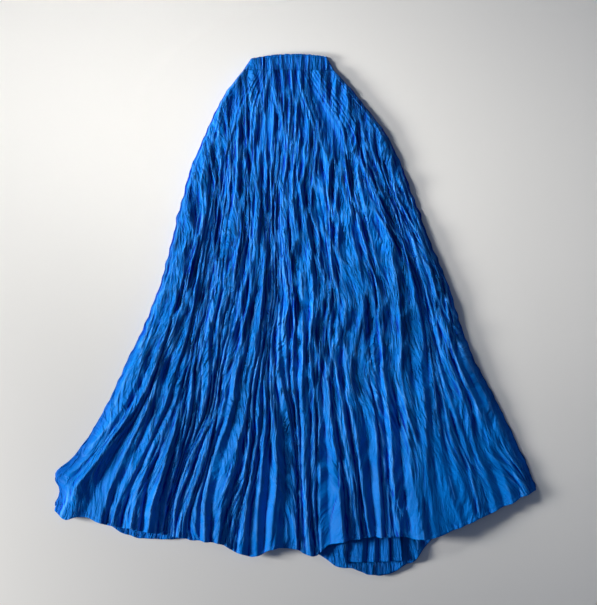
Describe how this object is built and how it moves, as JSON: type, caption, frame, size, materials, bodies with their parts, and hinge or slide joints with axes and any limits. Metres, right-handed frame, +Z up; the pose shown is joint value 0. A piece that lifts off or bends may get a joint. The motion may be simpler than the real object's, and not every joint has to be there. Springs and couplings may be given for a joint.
{
  "type": "pleated maxi skirt",
  "caption": "Long flared skirt of crinkle-pleated cloth, gathered into a narrow elastic waistband and laid flat on its back panel.",
  "frame": {"origin": "under the middle of the laid skirt's outline, on the surface that it lies on", "axes": "+Z up from the surface, +Y from the hem towards the waistband, +X to the right seen from above"},
  "size_m": [0.978, 1.0588, 0.0273],
  "materials": {
    "front_cloth": "cobalt blue crinkled cotton sateen with a soft sheen",
    "back_cloth": "the same cloth, pressed flat under the front panel",
    "band_cloth": "the same cloth, gathered over elastic"
  },
  "bodies": {
    "root": {"front_panel": "front_cloth", "back_panel": "back_cloth", "back_hem_fold": "back_cloth", "waistband_front": "band_cloth", "waistband_back": "band_cloth"}
  },
  "joints": []
}
